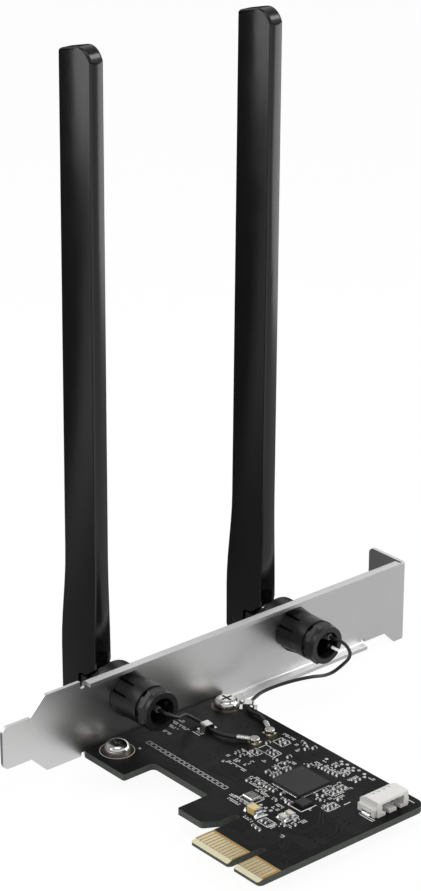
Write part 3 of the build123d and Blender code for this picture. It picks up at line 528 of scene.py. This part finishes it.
chip_low, chip_high = (np.array(corner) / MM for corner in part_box("wifi_chip"))
chip_middle = (chip_low + chip_high) / 2
chip_half = (chip_high[0] - chip_low[0]) / 2
lands_each_way = 9
land_pitch, land_offset, land_taper = 0.42, 0.16, 0.7
land_length, land_width, land_height = 0.42, 0.22, 0.09
lands = np.arange(-lands_each_way, lands_each_way + 1) * land_pitch
same = np.ones(len(lands))
reach = chip_half + land_offset
land_rows = np.concatenate([
    np.stack([chip_middle[0] + side * reach * (1 - turn) + lands * turn,
              chip_middle[1] + side * reach * turn + lands * (1 - turn),
              same * BOARD_TOP, same * land_length, same * land_width, same * land_height,
              same * 90 * turn], -1)
    for turn in (0, 1) for side in (-1, 1)])
piece("chip_land_pads", blocks(land_rows, land_taper), TIN)
dot = lathe([(0.0, 0.008), (0.9, 0.008), (1.0, 0.0)], 24)
dot_inset, dot_radius = 1.0, 0.38
dot_row = [(chip_low[0] + dot_inset, chip_high[1] - dot_inset, chip_high[2], dot_radius)]
piece("chip_corner_dot", copies(dot, dot_row), RESISTOR, weld=True)

screw_low, screw_high = (np.array(corner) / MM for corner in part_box("board_screws"))
screw_x = (screw_low[0] + screw_high[0]) / 2
screw_radius = (screw_high[0] - screw_low[0]) / 2
screw_y = (screw_low[1] + screw_radius, screw_high[1] - screw_radius)


def flat_ring(inner, outer, height):
    """Profile of a flat ring: up the inner wall, over the top and down the outer wall."""
    return [(inner, 0.0), (inner, height), (outer, height), (outer, 0.0)]


pad_inner, pad_outer, pad_height = 1.8, 3.5, 0.035
ink_inner, ink_outer = 3.75, 3.95
screw_rows = [(screw_x, y, BOARD_TOP, 1.0) for y in screw_y]
pad_ring = lathe(flat_ring(pad_inner, pad_outer, pad_height), 64)
piece("screw_ring_pads", copies(pad_ring, screw_rows), RING_PAD, weld=True)
ink_ring = lathe(flat_ring(ink_inner, ink_outer, INK), 64)
piece("screw_ink_rings", copies(ink_ring, screw_rows[:1]), BOX_INK, weld=True)

# End caps and solder of the chip components
small_cap = {"cap": 0.24, "over": 0.02}
large_cap = {"cap": 0.42, "over": 0.03}
storage_box = (np.array([corner]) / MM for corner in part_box("storage_capacitor"))
piece("ceramic_end_caps", end_caps(*node_boxes("ceramic_capacitors"), **small_cap), TIN)
piece("matching_end_caps", end_caps(*node_boxes("rf_passives"), **small_cap), TIN)
piece("filter_end_caps", end_caps(*node_boxes("filter_capacitors"), **large_cap), TIN)
piece("storage_end_caps", end_caps(*storage_box, **large_cap), TIN)

# Conductors under the mask, and vias
traces = [
    [(-26.4, 40.4), (-24.6, 39.3), (-22.9, 37.2), (-20.0, 35.9)],
    [(-33.4, 41.6), (-28.6, 41.0), (-26.4, 40.4)],
    [(-33.2, 36.4), (-29.2, 35.2), (-25.6, 33.1), (-20.0, 32.2)],
    [(-9.2, 6.6), (-9.2, 11.0), (-9.9, 12.6), (-12.6, 12.9)],
    [(2.4, 6.6), (2.4, 12.0), (-0.2, 15.4), (-0.2, 24.6), (-4.6, 29.2), (-10.6, 30.2)],
    [(3.4, 6.6), (3.4, 12.4), (0.6, 15.8), (0.6, 25.0), (-4.2, 29.8), (-10.6, 30.9)],
    [(5.4, 6.6), (5.4, 13.4), (5.0, 24.6), (2.6, 27.4), (1.0, 37.0), (-0.6, 38.2)],
    [(6.4, 6.6), (6.4, 14.0), (6.1, 25.2), (3.6, 28.0), (1.8, 37.6), (-0.6, 39.4)],
    [(-0.8, 40.6), (-3.4, 40.6), (-5.6, 38.4), (-10.6, 35.4)],
    [(-0.8, 42.0), (-3.8, 42.0), (-6.2, 39.6), (-10.6, 36.2)],
    [(-6.0, 20.0), (0.0, 13.2), (7.4, 9.0)],
    [(-27.0, 22.0), (-24.4, 22.0), (-22.6, 20.6), (-20.0, 20.6)],
    [(-44.0, 27.0), (-36.0, 27.0), (-31.0, 23.4), (-25.0, 23.4)],
]
trace_width, trace_height = 0.26, 0.025
piece("masked_traces", strips(traces, trace_width, BOARD_TOP, trace_height), TRACE)
via_places = [
    (0.6, 29.4), (2.6, 29.4), (4.1, 29.4), (1.3, 26.0), (2.9, 26.0), (4.6, 26.0), (1.3, 22.4), (2.9, 22.4),
    (4.6, 22.4), (6.2, 22.4), (1.4, 19.1), (2.9, 19.1), (4.6, 19.1), (6.1, 19.1), (3.2, 15.3), (4.7, 15.3),
    (6.2, 15.3), (-7.9, 10.2), (-5.0, 9.4), (-3.4, 12.0), (-27.6, 23.4), (-35.4, 24.6), (-38.2, 29.4),
    (-41.4, 40.6), (-39.0, 45.6), (-22.4, 43.6), (-1.2, 27.2), (-0.8, 20.4), (-26.6, 30.6), (-25.2, 28.4),
]
via_radius = 0.36
via_rows = [(x, y, BOARD_TOP, via_radius) for x, y in via_places]
under_rows = [(x, y, BOARD_UNDER, via_radius) for x, y in via_places]
via_ring = lathe([(0.0, 0.004), (0.42, 0.004), (0.55, 0.03), (1.0, 0.028), (1.05, 0.0)], 18)
piece("tented_vias", copies(via_ring, via_rows), VIA, smooth=True, weld=True)
under_via = (via_ring[0] * [1, 1, -1], via_ring[1][:, ::-1])
piece("under_vias", copies(under_via, under_rows), TRACE, smooth=True, weld=True)


def screw_thread(x, y, top, end, root, crest, pitch):
    """Helical ridge: at turn u and share v across the ridge, radius = root + (crest - root)(1 - |2v - 1|)
    and height = top - pitch (u / 2 pi + ridge share times v), with the ridge dying out over the last turn."""
    ridge_share, steps_a_turn = 0.8, 26
    turns = (top - end) / pitch - ridge_share
    u = np.linspace(0, 2 * pi * turns, int(turns * steps_a_turn))[:, None]
    v = np.array([0.0, 0.5, 1.0])[None]
    fade = np.clip((2 * pi * turns - u) / (2 * pi), 0.0, 1.0)
    radius = root + (crest - root) * (1 - np.abs(2 * v - 1)) * fade
    height = top - pitch * (u / (2 * pi) + ridge_share * v)
    points = np.stack([x + radius * np.cos(u), y + radius * np.sin(u), height + 0 * radius], -1)
    here = np.arange(len(u) - 1)[:, None] * 3 + np.arange(2)[None]
    faces = np.stack([here, here + 1, here + 4, here + 3], -1)
    return points.reshape(-1, 3), faces.reshape(-1, 4)


thread_root, thread_crest, thread_pitch = 1.44, 1.62, 0.45
thread_drop, thread_inset = 0.9, 0.05
thread_top = BOARD_UNDER - thread_drop
thread_end = screw_low[2] + thread_inset
threads = [screw_thread(screw_x, y, thread_top, thread_end, thread_root, thread_crest, thread_pitch)
           for y in screw_y]
piece("screw_threads", together(*threads), NICKEL, smooth=True)

# Crimp ridges on the plugs' barrels
plugs = [("left", (-34.9, 37.1), 214.9), ("right", (-35.8, 42.3), 152.8)]
plug_axis_height = 0.85
plug_level = BOARD_TOP + plug_axis_height
ridge_places = (1.9, 2.7, 3.5)
ridge = lathe([(0.55, -0.3), (0.63, -0.17), (0.65, 0.0), (0.63, 0.17), (0.55, 0.3)], 24)
for side, at, turn in plugs:
    along = cos(radians(turn)), sin(radians(turn))
    ridges = [aimed(ridge, (at[0] + out * along[0], at[1] + out * along[1], plug_level), turn)
              for out in ridge_places]
    piece(f"{side}_crimp_ridges", together(*ridges), NICKEL, smooth=True)


def foot_web(casing):
    """Web that closes the fork of an antenna's foot above the swivel's arm. At the distance d from the
    blade's rear edge it is a rectangle of half width w(d), from the arm's rise + slope (d - first d) up to
    the web's top, both above the foot, carried along d."""
    arm_rise, arm_slope, web_top = 7.95, 0.78, 13.8
    low, high = (np.array(corner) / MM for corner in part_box(casing))
    distance = np.array([9.6, 11.26, 12.36, 12.76, 12.96, 13.06])
    half = np.array([2.5, 2.4, 2.22, 1.95, 1.5, 0.9])
    under = low[2] + arm_rise + arm_slope * (distance - distance[0])
    over = np.full(len(distance), low[2] + web_top)
    x = np.repeat((low[0] + distance)[:, None], 4, 1)
    y = (low[1] + high[1]) / 2 + np.stack([-half, half, half, -half], -1)
    z = np.stack([under, under, over, over], -1)
    station = 4 * np.arange(len(distance) - 1)[:, None]
    here = np.arange(4)[None]
    after = (here + 1) % 4
    sides = np.stack([station + here, station + after, station + 4 + after, station + 4 + here], -1)
    ends = np.array([[3, 2, 1, 0], [0, 1, 2, 3]]) + [[0], [4 * len(distance) - 4]]
    return np.stack([x, y, z], -1).reshape(-1, 3), np.concatenate([sides.reshape(-1, 4), ends])


for side in ("left", "right"):
    piece(f"{side}_foot_web", foot_web(f"{side}_antenna_casing"), CASING, f"{side}_antenna",
          weld=True)

# Leads: the route's corners are the control points of one smooth spline each
left_route = [
    (-55.85, 19.5, 10.315), (-45.85, 19.5, 10.315), (-44.25, 20.7, 9.565), (-44.05, 22.5, 8.465),
    (-47.65, 26.4, 5.615), (-51.1, 30.55, 3.535), (-50.85, 32.35, 2.285), (-49.1, 33.45, 1.385),
    (-43.9, 32.8, 1.385), (-40.97, 32.87, 1.635), (-38.18, 34.81, 1.635),
]
right_route = [
    (-55.85, 68.45, 10.315), (-44.8, 70.2, 12.015), (-42.5, 71.9, 10.415), (-42.4, 73.1, 7.315),
    (-45.1, 73.0, 3.985), (-46.3, 69.9, 1.885), (-45.7, 63.3, 3.985), (-49.05, 58.45, 2.685),
    (-50.95, 53.65, 1.485), (-49.95, 50.25, 1.385), (-48.35, 46.75, 1.385), (-45.55, 44.95, 1.385),
    (-42.38, 45.68, 1.635), (-39.36, 44.13, 1.635),
]
LEAD_DIAMETER = 0.81


def coax_lead(side, route):
    """Round lead on a NURBS spline of order 3 that has the route's corners as control points."""
    curve = bpy.data.curves.new(f"{side}_lead", "CURVE")
    curve.dimensions = "3D"
    spline = curve.splines.new("NURBS")
    spline.points.add(len(route) - 1)
    spline.points.foreach_set("co", np.c_[np.array(route) * MM, np.ones(len(route))].ravel())
    spline.order_u = 3
    spline.use_endpoint_u = True
    spline.use_smooth = True
    curve.resolution_u = 14
    curve.bevel_depth = LEAD_DIAMETER / 2 * MM
    curve.bevel_resolution = 5
    curve.use_fill_caps = True
    curve.materials.append(JACKET.material)
    made = bpy.data.objects.new(f"{side}_lead", curve)
    scene.collection.objects.link(made)
    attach(made, "card")
    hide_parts(f"{side}_coax_lead")


coax_lead("left", left_route)
coax_lead("right", right_route)

# Finishes of the CAD nodes
node_finishes = {
    "bracket": STEEL, "circuit_board": BOARD, "edge_contacts": GOLD, "board_screws": NICKEL,
    "wifi_chip": CHIP, "regulator_chip": CHIP, "crystal_can": NICKEL, "storage_capacitor": TANTALUM,
    "filter_capacitors": PALE_CERAMIC, "ceramic_capacitors": CERAMIC, "rf_passives": RESISTOR,
    "header_housing": WHITE, "header_pins": NICKEL, "header_anchors": TIN,
}
side_finishes = {
    "snap_bush": BUSH, "swivel_base": BUSH, "antenna_casing": CASING, "lead_sleeve": SLEEVE,
    "lead_clip": NICKEL, "coax_socket": GOLD, "coax_plug": NICKEL, "radiator": COPPER, "feed_lead": JACKET,
    "hinge_pin": BUSH, "coax_lead": JACKET,
}
for side in ("left", "right"):
    node_finishes.update({f"{side}_{name}": finish for name, finish in side_finishes.items()})
for name, finish in node_finishes.items():
    nodes[name].data.materials.clear()
    nodes[name].data.materials.append(finish.material)


# The stage, in metres: the middle between the antennas, the planes next to the bracket, and the camera that
# was fitted to the photograph
MIDDLE_X, MIDDLE_Y = -0.07, 0.045
BRACKET_BACK, BRACKET_FRONT = -0.075, -0.058
CAMERA_PLACE = (0.372513, -0.321417, 0.303401)
CAMERA_TURN, CAMERA_RISE = radians(49.682), radians(23.075)
FOCAL_PIXELS, PHOTO_HEIGHT, SENSOR = 2795.224, 891, 36.0
FLOOR_HALF, FLOOR_DROP = 3.0, 0.0002
# Gradients of the mirrored floor and of the sky: from, to, level at from, level at to
FLOOR_BEHIND_X = (-0.21, -0.12, 1.0, 0.25)
FLOOR_BEHIND_ACROSS = (-0.095, 0.01, 0.05, 0.78)
FLOOR_BEFORE = (BRACKET_BACK, BRACKET_FRONT, 0.0, 1.0)
FLOOR_BEFORE_Y = (-0.01, 0.08, 0.98, 0.66)
SKY_RISE = (0.16, 0.46, 0.01, 0.88)
SKY_FALL = (0.45, 0.9, 1.0, 0.3)
softboxes = {
    "front_left": {"place": (-0.230, -0.216, 0.19), "aim": (-0.13, 0.07, 0.1), "size": (0.25, 0.34),
                   "glow": 2.1},
    "back_right": {"place": (0.04, 0.26, 0.075), "aim": (MIDDLE_X, MIDDLE_Y, 0.075), "size": (0.28, 0.155),
                   "glow": 2.3},
    "behind_right": {"place": (0.125, 0.345, 0.50), "aim": (-0.06, MIDDLE_Y, 0.15), "size": (0.16, 0.16),
                     "glow": 5.5},
    "above": {"place": (0.05, -0.05, 0.9), "aim": (-0.03, 0.03, 0.0), "size": (0.5, 0.5), "glow": 1.6},
}


def pale_floor():
    """Pale matt floor that the camera sees almost plain white, with a faint shadow. Mirrors see it pale
    before the bracket and dark behind it, where the level grows along a slanted line across the view."""
    finish = Finish("pale_floor", (0.93, 0.93, 0.93), 0.9)
    seen_level, seen_share, slant = 1.02, 0.92, 0.6
    path = finish.node("ShaderNodeLightPath")
    mirrored = path["Is Glossy Ray"] | path["Is Transmission Ray"]
    where = finish.axes(finish.place())
    across = where["X"] - MIDDLE_X - slant * (where["Y"] - MIDDLE_Y)
    near = finish.spread(where["X"], *FLOOR_BEHIND_X, "SMOOTHSTEP")
    behind = near * finish.spread(across, *FLOOR_BEHIND_ACROSS, "SMOOTHSTEP")
    before = finish.spread(where["X"], *FLOOR_BEFORE, "SMOOTHSTEP")
    along = finish.spread(where["Y"], *FLOOR_BEFORE_Y, "SMOOTHSTEP")
    graded = behind | before * along
    level = path["Is Camera Ray"] * seen_level + mirrored * graded
    white = finish.node("ShaderNodeEmission", None, {"Color": shade(1.0), "Strength": level})["Emission"]
    plain = Socket(finish, finish.shader.outputs["BSDF"])
    share = path["Is Camera Ray"] * seen_share | mirrored
    both = finish.node("ShaderNodeMixShader", None, {0: share, 1: plain, 2: white})["Shader"]
    finish.tree.links.new(both.output, finish.tree.nodes["Material Output"].inputs["Surface"])
    return finish


def softbox(name, place, aim, size, glow):
    """Rectangular lamp of an even glow: its power is the glow times pi times its area."""
    data = bpy.data.lights.new(name, "AREA")
    data.shape = "RECTANGLE"
    data.size, data.size_y = size
    data.energy = glow * pi * size[0] * size[1]
    lamp = bpy.data.objects.new(name, data)
    lamp.location = Vector(place)
    lamp.rotation_euler = (Vector(aim) - Vector(place)).to_track_quat("-Z", "Y").to_euler()
    scene.collection.objects.link(lamp)


def studio():
    """Floor, soft lights and the camera at the photograph's angle."""
    half, level = FLOOR_HALF, cad_low.z - FLOOR_DROP
    corners = [(-half, -half, level), (half, -half, level), (half, half, level), (-half, half, level)]
    mesh = bpy.data.meshes.new("floor")
    mesh.from_pydata(corners, [], [(0, 1, 2, 3)])
    mesh.materials.append(pale_floor().material)
    floor = bpy.data.objects.new("floor", mesh)
    scene.collection.objects.link(floor)

    world = bpy.data.worlds.new("studio")
    scene.world = world
    world.use_nodes = True
    sky = Nodes(world.node_tree)
    back = world.node_tree.nodes["Background"]
    direction = sky.node("ShaderNodeTexCoord")["Generated"]
    height = sky.node("ShaderNodeSeparateXYZ", None, {"Vector": direction})["Z"]
    rising = sky.spread(height, *SKY_RISE, "SMOOTHSTEP")
    soft = rising * sky.spread(height, *SKY_FALL, "SMOOTHSTEP")
    seen = sky.node("ShaderNodeLightPath")["Is Camera Ray"]
    strength = seen + (1 - seen) * soft
    world.node_tree.links.new(strength.output, back.inputs["Strength"])
    back.inputs["Color"].default_value = shade(1.0)

    for name, lamp in softboxes.items():
        softbox(name, **lamp)

    level_share = cos(CAMERA_RISE)
    outward = Vector((sin(CAMERA_TURN) * level_share, -cos(CAMERA_TURN) * level_share, sin(CAMERA_RISE)))
    data = bpy.data.cameras.new("camera")
    data.sensor_width = SENSOR
    data.lens = FOCAL_PIXELS / PHOTO_HEIGHT * SENSOR
    data.clip_start, data.clip_end = 0.01, 20.0
    camera = bpy.data.objects.new("camera", data)
    camera.location = Vector(CAMERA_PLACE)
    camera.rotation_euler = (-outward).to_track_quat("-Z", "Y").to_euler()
    scene.collection.objects.link(camera)
    scene.camera = camera
    scene.view_settings.view_transform = "Standard"


studio()
